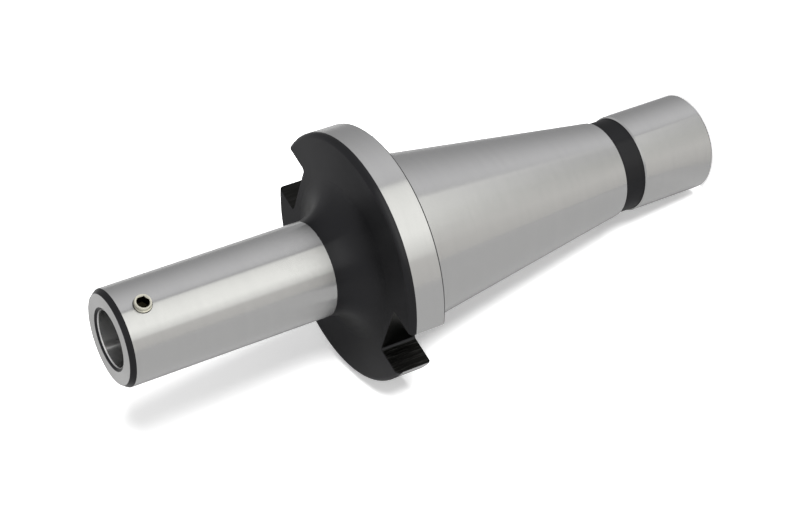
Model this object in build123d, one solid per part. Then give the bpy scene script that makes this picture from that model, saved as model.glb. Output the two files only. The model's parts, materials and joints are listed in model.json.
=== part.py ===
from build123d import *
import math
import os

# Boring head arbor: a No. 40 7:24 spindle taper with a flanged, bored cylindrical nose and its clamp screw.
# The arbor body is one turned and ground piece. The clamp screw is a hexagon socket set screw with a cup
# point, which runs in a radial hole through the wall of the nose and stands a little proud of it.
# Millimetres. +Z runs along the axis towards the nose, and the origin is the centre of the gauge circle.
# The two drive slots face +X and -X.

os.makedirs("parts", exist_ok=True)

# Spindle taper and tail, the standard sizes of No. 40
gauge_dia = 44.45
taper_dia_per_length = 7 / 24
taper_length = 65.4
gauge_to_tail_end = 93.4
tail_dia = 25.3
tail_land = 21.8
tail_end_chamfer = 0.5
tail_front_chamfer = 0.3
groove_dia = 24.3
relief_step = 0.425

# Drive flange
gauge_to_flange = 1.6
flange_dia = 63.0
flange_thick = 9.65
flange_front_round = 1.2
flange_back_chamfer = 0.5
slot_count = 2
slot_width = 16.1
slot_floor_above_gauge = 0.275
slot_corner_round = 0.8
slot_edge_round = 0.2

# Nose. The neck's foot ends short of the slots' floors by the neck's land.
neck_land = 2.2
nose_dia = 24.0
nose_length = 61.85
nose_chamfer_radial = 0.9
nose_chamfer_axial = 1.3
bore_dia = 14.0
bore_depth = 28.0
sink_dia = 15.6
sink_depth = 0.55

# Drawbar hole in the tail, tapped M16 x 2 and drawn at its tap drill's diameter
drawbar_drill_dia = 14.0
drawbar_tapped_length = 32.0
drawbar_drill_run_out = 11.0
recess_dia = 17.0
recess_depth = 6.0
centre_cone_angle = 60.0
drill_point_angle = 118.0

# Clamp screw, M5 x 6, its thread and its tapped hole drawn plain at about their mean diameter
screw_dia = 4.6
screw_length = 6.0
screw_clearance = 0.05
screw_from_nose_face = 6.8
screw_turn_from_slot = 85.0
screw_proud = 1.25
screw_head_chamfer_radial = 0.3
screw_head_chamfer_axial = 0.9
screw_point_chamfer = 0.8
socket_across_flats = 2.5
socket_depth = 2.5
socket_mouth_chamfer = 0.05
socket_turn = 1.0
cup_dia = 2.5
cup_angle = 120.0

cut_past = 1.0
on_the_wall = 0.001


def cone_height(radius, included_angle):
    """Height of a cone of this base radius and point angle."""
    return radius / math.tan(math.radians(included_angle / 2))


def taper_radius(z):
    """Radius of the 7:24 cone at height z, which is negative towards the tail."""
    return (gauge_dia + z * taper_dia_per_length) / 2


tail_end = -gauge_to_tail_end
tail_front = tail_end + tail_land
flange_back = gauge_to_flange
flange_front = flange_back + flange_thick
nose_face = flange_front + nose_length
tail_r = tail_dia / 2
groove_r = groove_dia / 2
relief_r = gauge_dia / 2 - relief_step
flange_r = flange_dia / 2
slot_floor_from_axis = gauge_dia / 2 + slot_floor_above_gauge
nose_r = nose_dia / 2
neck_round = slot_floor_from_axis - neck_land - nose_r
bore_r = bore_dia / 2


def turned(lines):
    """Solid of revolution about Z from the lines of its half section, given as radius and height."""
    return revolve(Plane.XZ * make_face(lines), Axis.Z)


def turned_blank():
    """Everything that is turned outside: tail, groove, taper, relief, flange, neck and nose."""
    groove_slope = tail_r - groove_r - tail_front_chamfer
    taper_end = -taper_length
    taper_end_r = taper_radius(taper_end)
    rear = Polyline(
        (0, tail_end),
        (tail_r - tail_end_chamfer, tail_end),
        (tail_r, tail_end + tail_end_chamfer),
        (tail_r, tail_front - tail_front_chamfer),
        (tail_r - tail_front_chamfer, tail_front),
        (groove_r, tail_front + groove_slope),
        (groove_r, taper_end - (taper_end_r - groove_r)),
        (taper_end_r, taper_end),
        (gauge_dia / 2, 0),
        (relief_r, relief_step),
        (relief_r, flange_back),
        (flange_r - flange_back_chamfer, flange_back),
        (flange_r, flange_back + flange_back_chamfer),
        (flange_r, flange_front - flange_front_round),
    )
    rim_round = CenterArc(
        (flange_r - flange_front_round, flange_front - flange_front_round), flange_front_round, 0, 90
    )
    face = Line((flange_r - flange_front_round, flange_front), (nose_r + neck_round, flange_front))
    neck = CenterArc((nose_r + neck_round, flange_front + neck_round), neck_round, 180, 90)
    front = Polyline(
        (nose_r, flange_front + neck_round),
        (nose_r, nose_face - nose_chamfer_axial),
        (nose_r - nose_chamfer_radial, nose_face),
        (0, nose_face),
        (0, tail_end),
    )
    return turned([rear, rim_round, face, neck, front])


def nose_bore():
    """Blind bore that takes the boring head's pilot, with its drill point and a wide countersink at its mouth."""
    floor = nose_face - bore_depth
    sink_r = sink_dia / 2
    return turned(
        Polyline(
            (0, floor - cone_height(bore_r, drill_point_angle)),
            (bore_r, floor),
            (bore_r, nose_face - sink_depth),
            (sink_r, nose_face),
            (sink_r, nose_face + cut_past),
            (0, nose_face + cut_past),
            close=True,
        )
    )


def drawbar_hole():
    """Recess, 60 degree centre and tapped hole in the tail, with the drill's run-out above the thread."""
    drill_r = drawbar_drill_dia / 2
    recess_r = recess_dia / 2
    recess_floor = tail_end + recess_depth
    cone_top = recess_floor + cone_height(recess_r, centre_cone_angle) - cone_height(drill_r, centre_cone_angle)
    drilled_to = cone_top + drawbar_tapped_length + drawbar_drill_run_out
    return turned(
        Polyline(
            (0, tail_end - cut_past),
            (recess_r, tail_end - cut_past),
            (recess_r, recess_floor),
            (drill_r, cone_top),
            (drill_r, drilled_to),
            (0, drilled_to + cone_height(drill_r, drill_point_angle)),
            close=True,
        )
    )


def drive_slots():
    """The key slots, cut right through the flange at even turns, with rounded floor corners."""
    length = flange_r - slot_floor_from_axis + cut_past
    outline = RectangleRounded(length + slot_corner_round, slot_width, slot_corner_round)
    outline = Pos(slot_floor_from_axis + (length + slot_corner_round) / 2, 0) * outline
    slot = extrude(Plane.XY.offset(flange_back) * outline, flange_thick)
    return [Rot(0, 0, turn * 360 / slot_count) * slot for turn in range(slot_count)]


def round_slot_edges(body):
    """Rounds the edges where the slots' side walls meet the flange's faces and rim."""
    edges = []
    for turn in range(slot_count):
        for edge in body.edges():
            at = edge.center().rotate(Axis.Z, -turn * 360 / slot_count)
            beside = abs(abs(at.Y) - slot_width / 2) < on_the_wall
            if beside and at.X > slot_floor_from_axis:
                edges.append(edge)
    return fillet(edges, slot_edge_round)


# The screw's axis points out of the nose, turned on from the -X slot's direction towards -Y.
screw_axis = Plane(
    origin=(0, 0, nose_face - screw_from_nose_face),
    x_dir=(0, 0, 1),
    z_dir=Vector(-1, 0, 0).rotate(Axis.Z, screw_turn_from_slot),
)
screw_top = nose_r + screw_proud
screw_tip = screw_top - screw_length


def screw_hole():
    """Radial hole through the nose wall, from inside the bore to outside the nose."""
    return screw_axis * Pos(0, 0, nose_r) * Cylinder(screw_dia / 2, 2 * (nose_r - bore_r / 2))


def arbor_body():
    body = turned_blank() - nose_bore() - drawbar_hole()
    for slot in drive_slots():
        body -= slot
    return round_slot_edges(body) - screw_hole()


def clamp_screw():
    """Set screw with a hexagon socket and a cup point, along the axis of its hole."""
    r = screw_dia / 2 - screw_clearance
    cup_r = cup_dia / 2
    shank = turned(
        Polyline(
            (0, screw_tip + cone_height(cup_r, cup_angle)),
            (cup_r, screw_tip),
            (r - screw_point_chamfer, screw_tip),
            (r, screw_tip + screw_point_chamfer),
            (r, screw_top - screw_head_chamfer_axial),
            (r - screw_head_chamfer_radial, screw_top),
            (0, screw_top),
            close=True,
        )
    )
    corner_r = socket_across_flats / 2 / math.cos(math.pi / 6)
    socket_floor = screw_top - socket_depth
    hexagon = Plane.XY.offset(socket_floor) * Rot(0, 0, socket_turn) * RegularPolygon(corner_r, 6)
    socket = extrude(hexagon, socket_depth + cut_past)
    socket += turned(
        Polyline(
            (0, socket_floor),
            (socket_across_flats / 2, socket_floor),
            (0, socket_floor - cone_height(socket_across_flats / 2, cup_angle)),
            close=True,
        )
    )
    mouth = turned(
        Polyline(
            (0, screw_top - corner_r),
            (corner_r + socket_mouth_chamfer + cut_past, screw_top + socket_mouth_chamfer + cut_past),
            (0, screw_top + socket_mouth_chamfer + cut_past),
            close=True,
        )
    )
    return screw_axis * (shank - socket - mouth)


for name, solid in {"arbor_body": arbor_body(), "clamp_screw": clamp_screw()}.items():
    solid.label = name
    export_step(solid, f"parts/{name}.step")
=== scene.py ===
"""Looks of the boring head arbor: ground steel and black oxide, a threaded clamp screw, and the stage."""
import json
import math
from types import SimpleNamespace

import bpy
from mathutils import Matrix, Vector


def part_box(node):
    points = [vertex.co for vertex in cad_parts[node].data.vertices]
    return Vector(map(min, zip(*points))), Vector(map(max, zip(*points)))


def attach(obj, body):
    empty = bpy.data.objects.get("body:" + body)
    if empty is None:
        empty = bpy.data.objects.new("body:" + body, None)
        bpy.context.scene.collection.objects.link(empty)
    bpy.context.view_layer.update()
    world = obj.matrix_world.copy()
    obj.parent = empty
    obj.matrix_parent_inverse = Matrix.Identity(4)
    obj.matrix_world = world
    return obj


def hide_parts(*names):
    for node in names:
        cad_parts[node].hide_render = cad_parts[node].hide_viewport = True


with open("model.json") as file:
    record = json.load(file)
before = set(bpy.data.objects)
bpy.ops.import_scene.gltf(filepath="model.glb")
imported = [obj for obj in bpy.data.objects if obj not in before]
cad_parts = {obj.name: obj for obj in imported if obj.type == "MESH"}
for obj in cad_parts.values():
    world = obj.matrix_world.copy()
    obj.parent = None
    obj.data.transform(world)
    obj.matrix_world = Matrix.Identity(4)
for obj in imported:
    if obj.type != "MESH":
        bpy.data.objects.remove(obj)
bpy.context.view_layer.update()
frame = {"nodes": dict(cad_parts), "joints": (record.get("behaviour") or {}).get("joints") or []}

MM = 0.001
UP = Vector((0.0, 0.0, 1.0))
WHITE = (1.0, 1.0, 1.0, 1.0)

# The body's turned form, read from its box, with the offsets that the box doesn't give
body_low, body_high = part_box("arbor_body")
TAIL_END = body_low.z
NOSE_FACE = body_high.z
FLANGE_R = body_high.y
TAIL_R = 12.65 * MM
TAIL_GROUND_R = 12.3 * MM
TAIL_END_CHAMFER = 0.5 * MM
TAIL_FRONT = TAIL_END + 21.8 * MM
TAPER_END = -65.4 * MM
TAPER_END_R = 12.68 * MM
RIM_BACK = 2.1 * MM
RIM_FRONT = 9.6 * MM
FLANGE_BACK = 1.6 * MM
FLANGE_FRONT = 11.25 * MM
NECK_TOP = 19.55 * MM
NOSE_R = 12.0 * MM
NOSE_CHAMFER = 1.3 * MM
FACE_R = 11.1 * MM
SINK_R = 7.8 * MM
SINK_DEPTH = 0.55 * MM
BORE_R = 7.0 * MM
BORE_DEPTH = 28.0 * MM
DRILL_POINT = 5.0 * MM
LIP_FROM = 0.44 * MM
LIP_TO = 0.74 * MM
LIP_WIDTH = 0.2 * MM
SLOT_HALF_WIDTH = 8.05 * MM
SLOT_FLOOR = 22.5 * MM

# How far off a surface a point still counts as on it: a round one, whose facets sag, the nose face, or a wall
FACET_SAG = 0.08 * MM
FACE_SLACK = 0.01 * MM
WALL_SLACK = 0.02 * MM

# How far the slots' marks keep off the flange's two faces
OFF_FLANGE_FACE = 0.05 * MM

# The body's finish. Each pair goes from its noise's low values to the high ones.
STEEL_COLOURS = (0.492, 0.492, 0.488, 1.0), (0.520, 0.519, 0.513, 1.0)
OXIDE_COLOURS = (0.030, 0.030, 0.032, 1.0), (0.040, 0.040, 0.042, 1.0)
MILLED_COLOURS = (0.014, 0.014, 0.013, 1.0), (0.062, 0.061, 0.059, 1.0)
SLOT_FLOOR_COLOUR = (0.040, 0.040, 0.038, 1.0)
# A painted highlight: the bore's broken edge is coloured brighter than the ground steel.
LIP_HIGHLIGHT_COLOUR = (0.85, 0.85, 0.84, 1.0)
OXIDE_TINT = (0.75, 0.75, 0.75, 1.0)
STEEL_ROUGHNESS = 0.20, 0.26
OXIDE_ROUGHNESS = 0.30, 0.38
ANISOTROPY = 0.97
NOISE_SPAN = 0.3, 0.7
MILLED_SPAN = 0.50, 0.68

# The scale of the marks' noise, by angle, radius and height round the axis, and by X, Y and Z in the slots
ROUND_MARKS = 1.3, 900.0, 900.0
MILL_MARKS = 1000.0, 40.0, 60.0
TURNED_BUMP = {"Strength": 0.05, "Distance": 0.02 * MM}
MILLED_BUMP = {"Strength": 0.6, "Distance": 0.25 * MM}
OXIDE_BUMP_SHARE = 0.5

# How plain the milling marks are in the +X slot, against the -X one
FAR_SLOT_MARKS = 0.2

# The lines along the bore's wall, as angles about the axis, and how far each leans what the wall mirrors
BRIGHT_LINE_AT = math.radians(75.1)
BRIGHT_LINE_LEAN = 0.18
DULL_LINE_AT = math.radians(63.1)
DULL_LINE_LEAN = 0.05
LINE_REACH = math.radians(5.0)
BORE_LEAN = 0.02
LIP_LEAN = (0.0, 0.0, 0.3)

# The clamp screw, an M5 with a 2.5 mm hexagon socket. Its cup and the socket's floor are cones of one depth.
SCREW_AXIS = -Vector(frame["joints"][0]["axis"]).normalized()
SCREW_FROM_NOSE_FACE = 6.8 * MM
SCREW_CENTRE = UP * (NOSE_FACE - SCREW_FROM_NOSE_FACE)
SCREW_TOP = 13.25 * MM
SCREW_LENGTH = 6.0 * MM
SCREW_CREST_R = 2.25 * MM
SCREW_THREAD_DEPTH = 0.42 * MM
SCREW_THREAD_START = 0.565
SCREW_PITCH = 0.8 * MM
THREAD_ROOT_SHARE = 0.125
THREAD_FLANK_SHARE = 0.75
SCREW_HEAD_CHAMFER = 0.3 * MM
SCREW_HEAD_CHAMFER_LENGTH = 0.9 * MM
SCREW_HEAD_SLOPE = SCREW_HEAD_CHAMFER / SCREW_HEAD_CHAMFER_LENGTH
SCREW_POINT_CHAMFER = 0.8 * MM
SOCKET_ACROSS_FLATS = 2.5 * MM
SOCKET_MOUTH_FLATS = 2.72 * MM
SOCKET_WORN_DEPTH = 0.6 * MM
SOCKET_DEPTH = 2.5 * MM
SOCKET_MOUTH = 0.05 * MM
SOCKET_TURN = math.radians(1.0)
CUP_R = 1.25 * MM
CONE_DEPTH = 0.72 * MM

# The screw's mesh. Its last bands of faces are the socket's two walls and its floor.
SCREW_STEPS = 120
SCREW_ROWS = 150
SOCKET_BANDS = 3
SHARP_FROM = math.radians(32)

# The screw's finish, with painted shade: its thread's roots are darker while its crests and its head's end
# stay bright, the socket is near-black, and a dark band at the nose's surface thins out above the nose.
PLATING_COLOURS = (0.66, 0.64, 0.53, 1.0), (0.78, 0.76, 0.66, 1.0)
PLATING_ROUGHNESS = 0.18, 0.30
PLATING_BUMP = {"Strength": 0.15, "Distance": 0.02 * MM}
ROOT_SHADE_COLOUR = (0.20, 0.19, 0.15, 1.0)
FOOT_SHADE_COLOUR = (0.02, 0.018, 0.015, 1.0)
SOCKET_SHADE_COLOUR = (0.020, 0.017, 0.010, 1.0)
SOCKET_ROUGHNESS = 0.5
BRIGHT_CREST = 0.1 * MM
BRIGHT_END = 0.25 * MM
FOOT_SHADE_FULL_TO = NOSE_R + 0.10 * MM
FOOT_SHADE_GONE_AT = NOSE_R + 0.30 * MM

# The photo's viewpoint
CAMERA_AZIMUTH = math.radians(-29.362)
CAMERA_ELEVATION = math.radians(25.814)
CAMERA_ROLL = math.radians(-109.35)
CAMERA_AIM = Vector((-3.77, 2.12, -3.64)) * MM
CAMERA_DISTANCE = 492.2 * MM
CAMERA_LENS = 90.29
CAMERA_NEAR = 0.01
CAMERA_FAR = 20.0


class Tree:
    """Short calls that add nodes to one tree. A value may be a number, a tuple or another node's output."""

    def __init__(self, owner):
        owner.use_nodes = True
        self.tree = owner.node_tree
        self.tree.nodes.clear()

    def node(self, kind, inputs=None, **settings):
        made = self.tree.nodes.new(kind)
        for name, value in settings.items():
            setattr(made, name, value)
        for name, value in (inputs or {}).items():
            self.feed(made.inputs[name], value)
        return made

    def feed(self, socket, value):
        if isinstance(value, bpy.types.NodeSocket):
            self.tree.links.new(value, socket)
        else:
            socket.default_value = value

    def output(self, surface, kind="ShaderNodeOutputMaterial"):
        self.node(kind, {"Surface": surface})

    def math(self, operation, *values):
        return self.node("ShaderNodeMath", dict(enumerate(values)), operation=operation).outputs[0]

    def product(self, first, *others):
        for other in others:
            first = self.math("MULTIPLY", first, other)
        return first

    def vector(self, operation, *values):
        made = self.node("ShaderNodeVectorMath", dict(enumerate(values)), operation=operation)
        return made.outputs["Value" if operation in ("DOT_PRODUCT", "LENGTH") else "Vector"]

    def between(self, value, low, high):
        """1 where value lies from low to high, else 0."""
        return self.product(self.math("GREATER_THAN", value, low), self.math("LESS_THAN", value, high))

    def remap(self, value, from_low, from_high, to_low, to_high):
        inputs = {
            "Value": value, "From Min": from_low, "From Max": from_high, "To Min": to_low, "To Max": to_high
        }
        return self.node("ShaderNodeMapRange", inputs, clamp=True).outputs["Result"]

    def blend(self, factor, first, second):
        """A colour between two."""
        made = self.node("ShaderNodeMix", data_type="RGBA")
        for name, value in {0: factor, 6: first, 7: second}.items():
            self.feed(made.inputs[name], value)
        return made.outputs[2]

    def blend_number(self, factor, first, second):
        made = self.node("ShaderNodeMix", data_type="FLOAT")
        for name, value in {0: factor, 2: first, 3: second}.items():
            self.feed(made.inputs[name], value)
        return made.outputs[0]

    def combine(self, x, y, z):
        return self.node("ShaderNodeCombineXYZ", {0: x, 1: y, 2: z}).outputs[0]

    def noise(self, where, scale, detail=3.0, roughness=0.55):
        inputs = {"Vector": where, "Scale": scale, "Detail": detail, "Roughness": roughness}
        return self.node("ShaderNodeTexNoise", inputs).outputs["Fac"]

    def bump(self, height, strength_and_distance, **more):
        return self.node("ShaderNodeBump", {"Height": height, **strength_and_distance, **more}).outputs[0]

    def metal(self, colour, roughness, more):
        inputs = {"Base Color": colour, "Metallic": 1.0, "Roughness": roughness, **more}
        return self.node("ShaderNodeBsdfPrincipled", inputs).outputs[0]

    def glow(self, colour, strength):
        return self.node("ShaderNodeEmission", {"Color": colour, "Strength": strength}).outputs[0]

    def cleared(self, surface, absent):
        """The surface, clear where absent is 1."""
        clear = self.node("ShaderNodeBsdfTransparent").outputs[0]
        return self.node("ShaderNodeMixShader", {0: absent, 1: surface, 2: clear}).outputs[0]


def new_material(name):
    made = bpy.data.materials.new(name)
    return made, Tree(made)


def new_object(name, data):
    made = bpy.data.objects.new(name, data)
    bpy.context.scene.collection.objects.link(made)
    return made


def place_on_body(t):
    """The shaded point's place: its position, with X, Y and Z, and its radius and angle about the axis."""
    position = t.node("ShaderNodeTexCoord").outputs["Object"]
    x, y, z = t.node("ShaderNodeSeparateXYZ", {0: position}).outputs
    radius = t.vector("LENGTH", t.combine(x, y, 0.0))
    return SimpleNamespace(position=position, x=x, y=y, z=z, radius=radius, angle=t.math("ARCTAN2", y, x))


def ground_zones():
    """The zones that are bright, each a range of height and a range of radius.

    The tail's zone takes in its front chamfer, and the bore's its drill point.
    """
    beyond = FLANGE_R + MM
    return [
        (TAIL_END + TAIL_END_CHAMFER, TAIL_FRONT + FACET_SAG, TAIL_GROUND_R, beyond),
        (TAPER_END, 0.0, TAPER_END_R - FACET_SAG, beyond),
        (RIM_BACK, RIM_FRONT, FLANGE_R - FACET_SAG, beyond),
        (NECK_TOP, NOSE_FACE - NOSE_CHAMFER, NOSE_R - FACET_SAG, NOSE_R + MM),
        (NOSE_FACE - FACE_SLACK, NOSE_FACE + MM, SINK_R, FACE_R),
        (NOSE_FACE - BORE_DEPTH - DRILL_POINT, NOSE_FACE - SINK_DEPTH, 0.0, BORE_R + WALL_SLACK),
    ]


def body_masks(t, at):
    """Factors that are 1 on what is ground, on the slots' walls and floors, and on the bore's broken edge."""
    ground = 0.0
    for z_low, z_high, r_low, r_high in ground_zones():
        zone = t.product(t.between(at.z, z_low, z_high), t.between(at.radius, r_low, r_high))
        ground = t.math("MAXIMUM", ground, zone)

    wide, deep = t.math("ABSOLUTE", at.y), t.math("ABSOLUTE", at.x)
    in_flange = t.between(at.z, FLANGE_BACK + OFF_FLANGE_FACE, FLANGE_FRONT - OFF_FLANGE_FACE)
    on_wall = t.between(wide, SLOT_HALF_WIDTH - WALL_SLACK, SLOT_HALF_WIDTH + WALL_SLACK)
    on_floor = t.between(deep, SLOT_FLOOR - WALL_SLACK, SLOT_FLOOR + WALL_SLACK)
    near_face = t.between(at.z, NOSE_FACE - LIP_TO, NOSE_FACE - LIP_FROM)
    return SimpleNamespace(
        ground=ground,
        slot_wall=t.product(on_wall, in_flange, t.math("GREATER_THAN", deep, SLOT_FLOOR)),
        slot_floor=t.product(on_floor, in_flange, t.math("LESS_THAN", wide, SLOT_HALF_WIDTH)),
        lip=t.product(near_face, t.math("LESS_THAN", at.radius, BORE_R + LIP_WIDTH)),
    )


def body_marks(t, at):
    """The noise of the body's marks. Along the marks the pattern is long, and across them it is fine."""
    round_axis = t.vector("MULTIPLY", t.combine(at.angle, at.radius, at.z), ROUND_MARKS)
    milled = t.vector("MULTIPLY", at.position, MILL_MARKS)
    return SimpleNamespace(
        fine=t.noise(round_axis, 4.0, detail=4.0, roughness=0.7),
        broad=t.noise(round_axis, 0.6, detail=2.0),
        cloud=t.noise(at.position, 90.0),
        milled=t.noise(milled, 2.2, detail=4.0, roughness=0.65),
        milled_share=t.remap(at.x, -MM, MM, 1.0, FAR_SLOT_MARKS),
    )


def body_colour(t, on, marks):
    steel = t.blend(marks.broad, *STEEL_COLOURS)
    oxide = t.blend(marks.cloud, *OXIDE_COLOURS)
    milled = t.product(t.remap(marks.milled, *MILLED_SPAN, 0.0, 1.0), marks.milled_share)
    oxide = t.blend(on.slot_wall, oxide, t.blend(milled, *MILLED_COLOURS))
    oxide = t.blend(on.slot_floor, oxide, SLOT_FLOOR_COLOUR)
    # The bore's broken edge gets its painted highlight colour.
    return t.blend(on.lip, t.blend(on.ground, oxide, steel), LIP_HIGHLIGHT_COLOUR)


def bore_line(t, at, line_at, lean):
    """The lean that a line along the bore's wall gives, full on the line and none beyond its reach."""
    off_line = t.math("ABSOLUTE", t.math("SUBTRACT", at.angle, line_at))
    return t.remap(off_line, 0.0, LINE_REACH, lean, 0.0)


def body_normal(t, at, on, marks):
    """The marks as bumps. In the bore, its broken edge and the two lines lean what they mirror."""
    turned_height = t.product(marks.fine, t.remap(on.ground, 0.0, 1.0, OXIDE_BUMP_SHARE, 1.0))
    turned = t.bump(turned_height, TURNED_BUMP)
    bumped = t.bump(t.product(marks.milled, on.slot_wall, marks.milled_share), MILLED_BUMP, Normal=turned)

    bright = bore_line(t, at, BRIGHT_LINE_AT, BRIGHT_LINE_LEAN)
    dull = bore_line(t, at, DULL_LINE_AT, DULL_LINE_LEAN)
    lean = t.math("ADD", BORE_LEAN, t.math("SUBTRACT", bright, dull))
    within_bore_r = t.math("LESS_THAN", at.radius, BORE_R + WALL_SLACK)
    in_nose_bore = t.product(within_bore_r, t.math("GREATER_THAN", at.z, 0.0))
    sloped = t.vector("ADD", bumped, t.combine(0.0, 0.0, t.product(in_nose_bore, lean)))
    inward = t.vector("NORMALIZE", t.vector("MULTIPLY", at.position, (-1.0, -1.0, 0.0)))
    return t.vector("NORMALIZE", t.blend(on.lip, sloped, t.vector("ADD", inward, LIP_LEAN)))


def arbor_steel():
    """Ground steel with grinding marks round the axis, and black oxide where it's left turned or milled, with
    a painted highlight on the bore's broken edge.
    """
    made, t = new_material("arbor_steel_and_lip_highlight")
    at = place_on_body(t)
    on = body_masks(t, at)
    marks = body_marks(t, at)
    oxide_rough = t.remap(marks.cloud, *NOISE_SPAN, *OXIDE_ROUGHNESS)
    steel_rough = t.remap(marks.fine, *NOISE_SPAN, *STEEL_ROUGHNESS)

    # The highlight spreads across the marks, which run round the axis.
    along_marks = t.vector("CROSS_PRODUCT", UP, at.position)
    flat_normal = t.node("ShaderNodeNewGeometry").outputs["Normal"]
    across_marks = t.vector("NORMALIZE", t.vector("CROSS_PRODUCT", along_marks, flat_normal))

    more = {
        "Anisotropic": ANISOTROPY,
        "Specular Tint": t.blend(on.ground, OXIDE_TINT, WHITE),
        "Tangent": across_marks,
        "Normal": body_normal(t, at, on, marks),
    }
    rough = t.blend_number(on.ground, oxide_rough, steel_rough)
    t.output(t.metal(body_colour(t, on, marks), rough, more))
    return made


def socket_shade():
    """The socket's wall and floor, painted near-black as shade."""
    made, t = new_material("socket_painted_shade")
    t.output(t.metal(SOCKET_SHADE_COLOUR, SOCKET_ROUGHNESS, {}))
    return made


def plated_and_shaded_screw():
    """Pale yellowish plating, with painted shade in the thread's roots and where the screw leaves the nose.
    """
    made, t = new_material("screw_plating_and_shade")
    place = t.node("ShaderNodeTexCoord").outputs["Object"]
    from_centre = t.vector("SUBTRACT", place, SCREW_CENTRE)
    height = t.vector("DOT_PRODUCT", from_centre, SCREW_AXIS)
    along = t.node("ShaderNodeVectorMath", {0: SCREW_AXIS, "Scale": height}, operation="SCALE").outputs[0]
    radius = t.vector("LENGTH", t.vector("SUBTRACT", from_centre, along))
    cloud = t.noise(place, 1400.0)
    plated = t.blend(cloud, *PLATING_COLOURS)
    # Painted shade: the thread's roots are coloured darker, but not next to the head's end.
    root = t.remap(radius, SCREW_CREST_R - SCREW_THREAD_DEPTH, SCREW_CREST_R - BRIGHT_CREST, 1.0, 0.0)
    root = t.product(root, t.math("LESS_THAN", height, SCREW_TOP - BRIGHT_END))
    plated = t.blend(root, plated, ROOT_SHADE_COLOUR)

    # The painted shade stays at the nose's surface when the screw moves, so its place is taken in the world.
    in_world = t.node("ShaderNodeNewGeometry").outputs["Position"]
    from_nose_axis = t.vector("LENGTH", t.vector("MULTIPLY", in_world, (1.0, 1.0, 0.0)))
    foot_shade = t.remap(from_nose_axis, FOOT_SHADE_FULL_TO, FOOT_SHADE_GONE_AT, 1.0, 0.0)
    plated = t.blend(foot_shade, plated, FOOT_SHADE_COLOUR)
    rough = t.remap(cloud, *NOISE_SPAN, *PLATING_ROUGHNESS)
    t.output(t.metal(plated, rough, {"Normal": t.bump(cloud, PLATING_BUMP)}))
    return made


def hexagon_radius(angle, across_flats):
    """Distance from a hexagon's centre to its outline in the direction of angle. A corner lies at angle 0."""
    sector = math.pi / 3
    from_flat = angle % sector - sector / 2
    return across_flats / 2 / math.cos(from_flat)


def thread_radius(height, turn):
    """Radius of the 60 degree thread's flank, crest or root at this height and share of a turn."""
    phase = (height / SCREW_PITCH - turn + SCREW_THREAD_START) % 1.0
    rise = 1.0 - abs(2.0 * phase - 1.0)
    shaped = min(max((rise - THREAD_ROOT_SHARE) / THREAD_FLANK_SHARE, 0.0), 1.0)
    return SCREW_CREST_R - SCREW_THREAD_DEPTH * (1.0 - shaped)


def screw_rings(steps):
    """Rings of (radius, height) round the screw's axis: the cup, the thread and the socket to its floor."""
    turns = [i / steps for i in range(steps)]
    rings = [[(0.0, CONE_DEPTH)] * steps, [(CUP_R, 0.0)] * steps]
    for row in range(SCREW_ROWS + 1):
        height = SCREW_LENGTH * row / SCREW_ROWS
        point = SCREW_CREST_R - SCREW_POINT_CHAMFER + height
        head = SCREW_CREST_R - SCREW_HEAD_CHAMFER + (SCREW_LENGTH - height) * SCREW_HEAD_SLOPE
        rings.append([(min(thread_radius(height, turn), point, head), height) for turn in turns])
    angles = [2 * math.pi * turn - SOCKET_TURN for turn in turns]
    hexagon = [hexagon_radius(angle, SOCKET_ACROSS_FLATS) for angle in angles]
    worn = [hexagon_radius(angle, SOCKET_MOUTH_FLATS) for angle in angles]
    mouth_r = SOCKET_MOUTH_FLATS / 2 / math.cos(math.pi / 6) + SOCKET_MOUTH
    rings.append([(mouth_r, SCREW_LENGTH)] * steps)
    rings.append([(r, SCREW_LENGTH - (mouth_r - r)) for r in worn])
    rings.append([(r, SCREW_LENGTH - SOCKET_WORN_DEPTH) for r in hexagon])
    rings.append([(r, SCREW_LENGTH - SOCKET_DEPTH) for r in hexagon])
    rings.append([(0.0, SCREW_LENGTH - SOCKET_DEPTH - CONE_DEPTH)] * steps)
    return rings


def ringed_mesh(name, rings, steps):
    """A closed mesh from rings of (radius, height), whose first and last rings are single points.

    Its faces are in the rings' order.
    """
    points = []
    for ring in rings[1:-1]:
        for step, (radius, height) in enumerate(ring):
            angle = 2 * math.pi * step / steps
            points.append((radius * math.cos(angle), radius * math.sin(angle), height))
    first, last = len(points), len(points) + 1
    points += [(0.0, 0.0, rings[0][0][1]), (0.0, 0.0, rings[-1][0][1])]
    around = [(step, (step + 1) % steps) for step in range(steps)]
    faces = [(after, step, first) for step, after in around]
    for ring in range(len(rings) - 3):
        low, high = ring * steps, (ring + 1) * steps
        faces += [(low + step, low + after, high + after, high + step) for step, after in around]
    faces += [(high + step, high + after, last) for step, after in around]
    mesh = bpy.data.meshes.new(name)
    mesh.from_pydata(points, [], faces)
    mesh.validate()
    return mesh


def clamp_screw():
    mesh = ringed_mesh("clamp_screw_threaded", screw_rings(SCREW_STEPS), SCREW_STEPS)
    mesh.shade_smooth()
    mesh.set_sharp_from_angle(angle=SHARP_FROM)
    piece = new_object("clamp_screw_threaded", mesh)
    turn = Matrix((UP, SCREW_AXIS.cross(UP), SCREW_AXIS)).transposed()
    tip = SCREW_CENTRE + SCREW_AXIS * (SCREW_TOP - SCREW_LENGTH)
    mesh.transform(Matrix.Translation(tip) @ turn.to_4x4())
    mesh.materials.append(plated_and_shaded_screw())
    mesh.materials.append(socket_shade())
    # The socket's last bands of faces take the near-black of painted shade.
    for face in list(mesh.polygons)[-SOCKET_BANDS * SCREW_STEPS:]:
        face.material_index = 1
    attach(piece, "clamp_screw")
    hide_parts("clamp_screw")


def finish_body():
    node = frame["nodes"]["arbor_body"]
    node.data.materials.clear()
    node.data.materials.append(arbor_steel())


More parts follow.
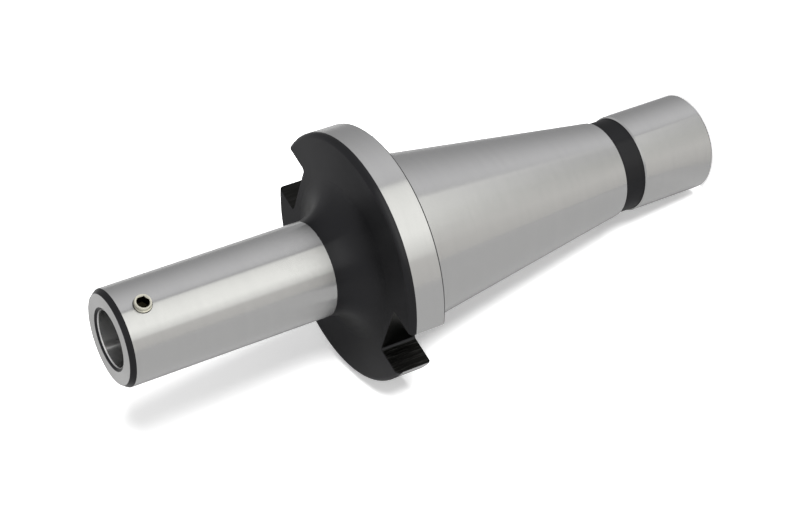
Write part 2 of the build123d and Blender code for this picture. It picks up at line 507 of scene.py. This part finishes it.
# The stage's paper: a floor, and the photo's table, which lies against the flange's rim and the tail's end.
FLOOR_SIZE = 6.0
FLOOR_LIGHT = 0.5
TABLE_AZIMUTH = math.radians(-70.0)
TABLE_FLAT = Vector((math.cos(TABLE_AZIMUTH), math.sin(TABLE_AZIMUTH), 0.0))
TABLE_LOW = (-350 * MM, -110 * MM)
TABLE_HIGH = (350 * MM, 350 * MM)
TABLE_GAP = 3.5 * MM
TABLE_LIGHT = 0.28
PAPER_FOR_METAL = (0.28, 0.28, 0.28, 1.0)
PAPER_LIGHT_FOR_METAL = 0.18

# The lamp that draws the arbor's shadow on the paper. The metal doesn't mirror it.
SHADOW_LAMP_FROM = Vector((-0.074, -0.989, 0.126))
SHADOW_LAMP_SIZE = math.radians(27.0)
SHADOW_LAMP_ENERGY = 5.0


def stage_paper(name, own_light, absent):
    """White paper, with some light of its own for the camera, so that only shadows show.

    The metal mirrors it darker. absent gives a factor that is 1 where the paper is left out.
    """
    made, t = new_material(name)
    path = t.node("ShaderNodeLightPath")
    seen = path.outputs["Is Camera Ray"]
    mirrored = t.math("MAXIMUM", path.outputs["Is Glossy Ray"], path.outputs["Is Transmission Ray"])
    paper = t.node("ShaderNodeBsdfDiffuse", {"Color": t.blend(seen, PAPER_FOR_METAL, WHITE)}).outputs[0]
    light = t.math("ADD", t.product(seen, own_light), t.product(mirrored, PAPER_LIGHT_FOR_METAL))
    surface = t.node("ShaderNodeAddShader", {0: paper, 1: t.glow(WHITE, light)}).outputs[0]
    t.output(t.cleared(surface, absent(t)))
    return made


def seen_from_behind(t):
    """1 for a camera behind the paper, also in what the metal mirrors for that camera."""
    behind = t.node("ShaderNodeNewGeometry").outputs["Backfacing"]
    path = t.node("ShaderNodeLightPath")
    depth = t.math("SUBTRACT", path.outputs["Transparent Depth"], path.outputs["Is Camera Ray"])
    return t.math("MAXIMUM", behind, t.math("GREATER_THAN", depth, 0.5))


def table_gap(t):
    """1 in a narrow gap of the floor along the table, so that the tail's shadow runs on below the floor."""
    place = t.node("ShaderNodeTexCoord").outputs["Object"]
    ahead = t.vector("DOT_PRODUCT", place, TABLE_FLAT)
    return t.between(ahead, -TAIL_R, TABLE_GAP - TAIL_R)


def plane(name, low, high, centre, normal, material):
    """A stage surface through centre. It runs from low to high, level to one side and up its slope."""
    mesh = bpy.data.meshes.new(name)
    corners = [(low[0], low[1], 0), (high[0], low[1], 0), (high[0], high[1], 0), (low[0], high[1], 0)]
    mesh.from_pydata(corners, [], [(0, 1, 2, 3)])
    level = Vector((-normal.y, normal.x, 0)).normalized() if normal.z < 1 else Vector((1, 0, 0))
    turn = Matrix((level, normal.cross(level), normal)).transposed().to_4x4()
    mesh.transform(Matrix.Translation(centre) @ turn)
    mesh.materials.append(material)
    piece = new_object(name, mesh)
    return piece


def build_paper():
    low, high = (-FLOOR_SIZE / 2,) * 2, (FLOOR_SIZE / 2,) * 2
    floor = plane("floor", low, high, UP * TAIL_END, UP, stage_paper("floor_paper", FLOOR_LIGHT, table_gap))
    floor.visible_glossy = False
    floor.visible_shadow = False
    lean = (FLANGE_R - TAIL_R) / (RIM_BACK - TAIL_END - TAIL_END_CHAMFER)
    normal = (TABLE_FLAT + UP * lean).normalized()
    on_rim = -TABLE_FLAT * FLANGE_R + UP * RIM_BACK
    paper = stage_paper("table_paper", TABLE_LIGHT, seen_from_behind)
    plane("table", TABLE_LOW, TABLE_HIGH, on_rim, normal, paper)


def shadow_lamp():
    sun = bpy.data.lights.new("shadow_lamp", "SUN")
    sun.energy = SHADOW_LAMP_ENERGY
    sun.angle = SHADOW_LAMP_SIZE
    lamp = new_object("shadow_lamp", sun)
    lamp.rotation_euler = SHADOW_LAMP_FROM.to_track_quat("Z", "Y").to_euler()
    lamp.visible_glossy = False


# The main soft box, a panel over the table. Its light is given from its left edge to its right.
BOX_AZIMUTH = math.radians(-108.0)
BOX_DISTANCE = 160 * MM
BOX_LEFT, BOX_RIGHT = -98 * MM, 98 * MM
BOX_TOP = 110 * MM
BOX_LEFT_END, BOX_RIGHT_END = -80 * MM, -180 * MM
BOX_LIGHT = [(0.0, 1.05), (0.06, 1.28), (0.34, 1.68), (0.60, 1.60), (1.0, 1.34)]
BRIGHTEST = 2.0

# The room round it: directions in degrees from the panel's middle, the light from there and its tint.
# A second bright wall opposite lights the side that the photo doesn't show.
ROOM = [
    (-180, 1.35, "cool"),
    (-152, 1.20, "cool"),
    (-148, 0.75, "cool"),
    (-110, 0.62, "warm"),
    (-70, 0.80, "warm"),
    (-34, 0.92, "warm"),
    (0, 0.70, "plain"),
    (30, 0.60, "cool"),
    (36, 0.62, "cool"),
    (39, 0.90, "cool"),
    (50, 0.95, "cool"),
    (64, 0.88, "cool"),
    (84, 0.71, "cool"),
    (100, 0.57, "cool"),
    (120, 0.45, "cool"),
    (148, 0.42, "cool"),
    (152, 1.20, "cool"),
    (180, 1.35, "cool"),
]
CEILING = 0.70
CEILING_FROM = 0.2
ROOM_ON_PAPER = 0.7
TINTS = {"plain": (1.0, 1.0, 0.97), "warm": (1.0, 0.985, 0.955), "cool": (0.985, 0.985, 1.0)}


def lit(light, tint):
    """The colour of this light, as a share of the brightest."""
    return [light / BRIGHTEST * part for part in TINTS[tint]] + [1.0]


def ramp_of(t, factor, stops):
    """A colour ramp through stops of (position, light, tint)."""
    made = t.node("ShaderNodeValToRGB", {0: factor})
    ramp = made.color_ramp
    ramp.elements.remove(ramp.elements[-1])
    for i, (at, light, tint) in enumerate(stops):
        stop = ramp.elements[0] if i == 0 else ramp.elements.new(at)
        stop.position = at
        stop.color = lit(light, tint)
    return made.outputs[0]


def soft_box_light():
    made, t = new_material("soft_box_light")
    generated = t.node("ShaderNodeTexCoord").outputs["Generated"]
    across = t.node("ShaderNodeSeparateXYZ", {0: generated}).outputs[0]
    light = ramp_of(t, across, [(at, light, "plain") for at, light in BOX_LIGHT])
    behind = t.node("ShaderNodeNewGeometry").outputs["Backfacing"]
    t.output(t.cleared(t.glow(light, BRIGHTEST), behind))
    made.cycles.emission_sampling = "NONE"
    return made


def soft_box():
    """The main soft box. The camera doesn't see it, and from behind it is clear."""
    mesh = bpy.data.meshes.new("soft_box")
    low = [(BOX_LEFT, BOX_LEFT_END, 0), (BOX_RIGHT, BOX_RIGHT_END, 0)]
    mesh.from_pydata(low + [(BOX_RIGHT, BOX_TOP, 0), (BOX_LEFT, BOX_TOP, 0)], [], [(0, 1, 2, 3)])
    mesh.materials.append(soft_box_light())
    box = new_object("soft_box", mesh)
    toward = Vector((math.cos(BOX_AZIMUTH), math.sin(BOX_AZIMUTH), 0.0))
    right = Vector((-toward.y, toward.x, 0.0))
    turn = Matrix((right, UP, -toward)).transposed().to_4x4()
    box.matrix_world = Matrix.Translation(toward * BOX_DISTANCE) @ turn
    box.visible_camera = False
    box.visible_diffuse = False
    box.visible_shadow = False


def room():
    """The room's light, drawn by direction where metal mirrors it, and plain for the paper and the camera."""
    world = bpy.data.worlds.new("room")
    bpy.context.scene.world = world
    world.cycles.sampling_method = "NONE"
    t = Tree(world)
    direction = t.node("ShaderNodeTexCoord").outputs["Generated"]
    x, y, z = t.node("ShaderNodeSeparateXYZ", {0: direction}).outputs
    cos, sin = math.cos(BOX_AZIMUTH), math.sin(BOX_AZIMUTH)
    ahead = t.math("ADD", t.product(x, cos), t.product(y, sin))
    beside = t.math("SUBTRACT", t.product(y, cos), t.product(x, sin))
    share = t.math("ADD", t.math("DIVIDE", t.math("ARCTAN2", beside, ahead), 2 * math.pi), 0.5)
    walls = ramp_of(t, share, [(degrees / 360 + 0.5, light, tint) for degrees, light, tint in ROOM])
    light = t.blend(t.remap(z, 0.0, CEILING_FROM, 0.0, 1.0), walls, lit(CEILING, "cool"))
    path = t.node("ShaderNodeLightPath")
    level = t.remap(path.outputs["Is Camera Ray"], 0.0, 1.0, ROOM_ON_PAPER, 1.0)
    plain = t.node("ShaderNodeBackground", {"Color": WHITE, "Strength": level}).outputs[0]
    mirrored = t.node("ShaderNodeBackground", {"Color": light, "Strength": BRIGHTEST}).outputs[0]
    mixed = t.node("ShaderNodeMixShader", {0: path.outputs["Is Glossy Ray"], 1: plain, 2: mirrored})
    t.output(mixed.outputs[0], "ShaderNodeOutputWorld")


def place_camera():
    data = bpy.data.cameras.new("photo_view")
    data.lens = CAMERA_LENS
    data.clip_start = CAMERA_NEAR
    data.clip_end = CAMERA_FAR
    camera = new_object("photo_view", data)
    turn = (
        Matrix.Rotation(CAMERA_AZIMUTH, 4, "Z")
        @ Matrix.Rotation(math.pi / 2 - CAMERA_ELEVATION, 4, "X")
        @ Matrix.Rotation(CAMERA_ROLL, 4, "Z")
    )
    back = turn.col[2].to_3d()
    camera.matrix_world = Matrix.Translation(CAMERA_AIM + back * CAMERA_DISTANCE) @ turn
    bpy.context.scene.camera = camera


bpy.context.scene.view_settings.view_transform = "Standard"
finish_body()
clamp_screw()
build_paper()
shadow_lamp()
soft_box()
room()
place_camera()
